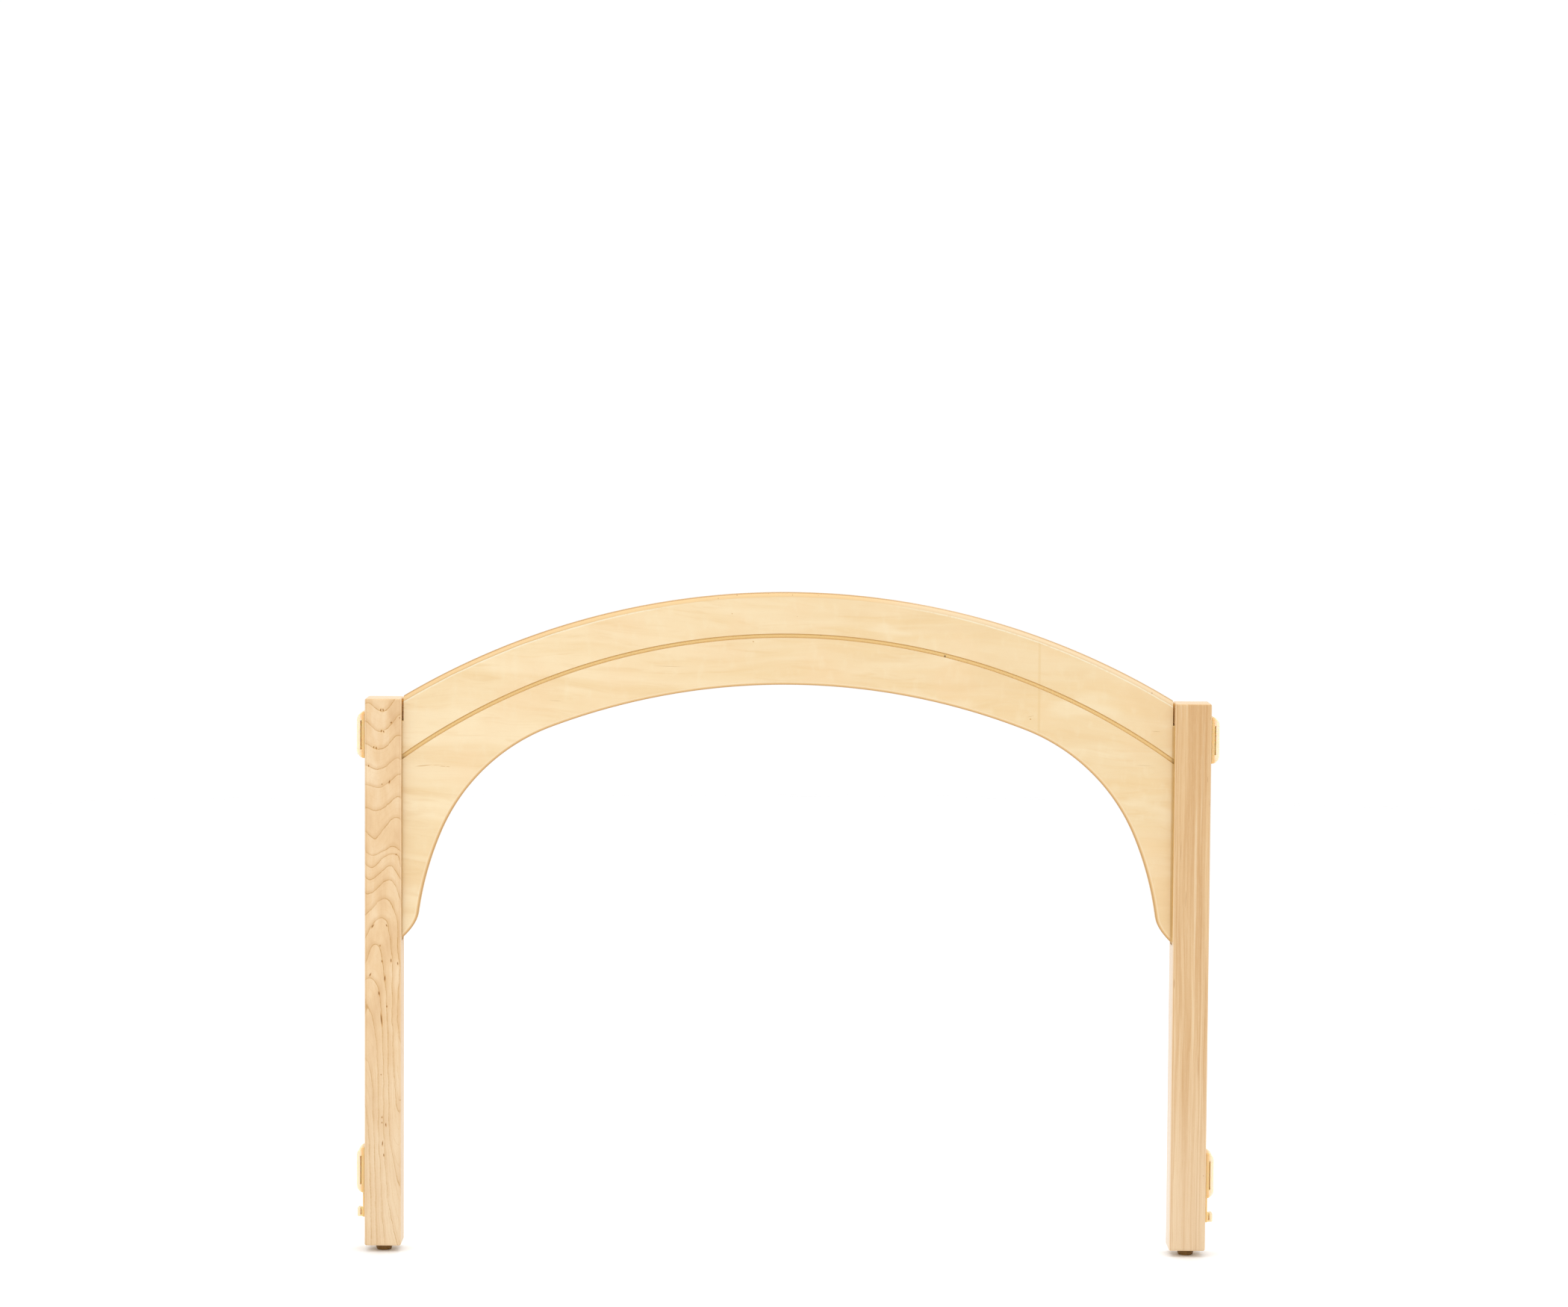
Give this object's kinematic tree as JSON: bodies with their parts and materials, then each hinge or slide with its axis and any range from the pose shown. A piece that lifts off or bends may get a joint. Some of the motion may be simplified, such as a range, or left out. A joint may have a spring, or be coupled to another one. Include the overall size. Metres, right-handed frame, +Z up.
{
  "type": "room divider arch",
  "caption": "Low free-standing arch: a curved plywood panel housed between two square wooden posts, with hook-on connectors on the outer faces and screw-in glides.",
  "frame": {"origin": "on the floor, midway between the posts and in the middle of the thickness", "axes": "+X along the width from post to post, +Y through the thickness away from the front face, +Z up"},
  "size_m": [0.9324, 0.0396, 0.7208],
  "materials": {
    "maple_flat_sawn": "satin lacquer",
    "maple_quarter_sawn": "satin lacquer",
    "birch_plywood": "satin lacquer",
    "cream_moulding": "fine satin",
    "brown_nylon": "satin",
    "zinc_steel": "bright zinc plated"
  },
  "bodies": {
    "arch_frame": {"left_post": "maple_flat_sawn", "right_post": "maple_quarter_sawn", "arch_panel": "birch_plywood", "left_upper_connector": "cream_moulding", "left_lower_connector": "cream_moulding", "right_upper_connector": "cream_moulding", "right_lower_connector": "cream_moulding", "left_upper_screw_top": "zinc_steel", "left_upper_screw_bottom": "zinc_steel", "left_lower_screw_top": "zinc_steel", "left_lower_screw_bottom": "zinc_steel", "right_upper_screw_top": "zinc_steel", "right_upper_screw_bottom": "zinc_steel", "right_lower_screw_top": "zinc_steel", "right_lower_screw_bottom": "zinc_steel", "left_threaded_insert": "zinc_steel", "right_threaded_insert": "zinc_steel"},
    "left_leveller": {"left_glide": "brown_nylon", "left_glide_stem": "zinc_steel"},
    "right_leveller": {"right_glide": "brown_nylon", "right_glide_stem": "zinc_steel"}
  },
  "joints": [
    {"name": "left_glide_screw_out", "type": "slide", "parent": "arch_frame", "child": "left_leveller", "axis": [0, 0, -1], "range_m": [0, 0.01]},
    {"name": "right_glide_screw_out", "type": "slide", "parent": "arch_frame", "child": "right_leveller", "axis": [0, 0, -1], "range_m": [0, 0.01]}
  ]
}
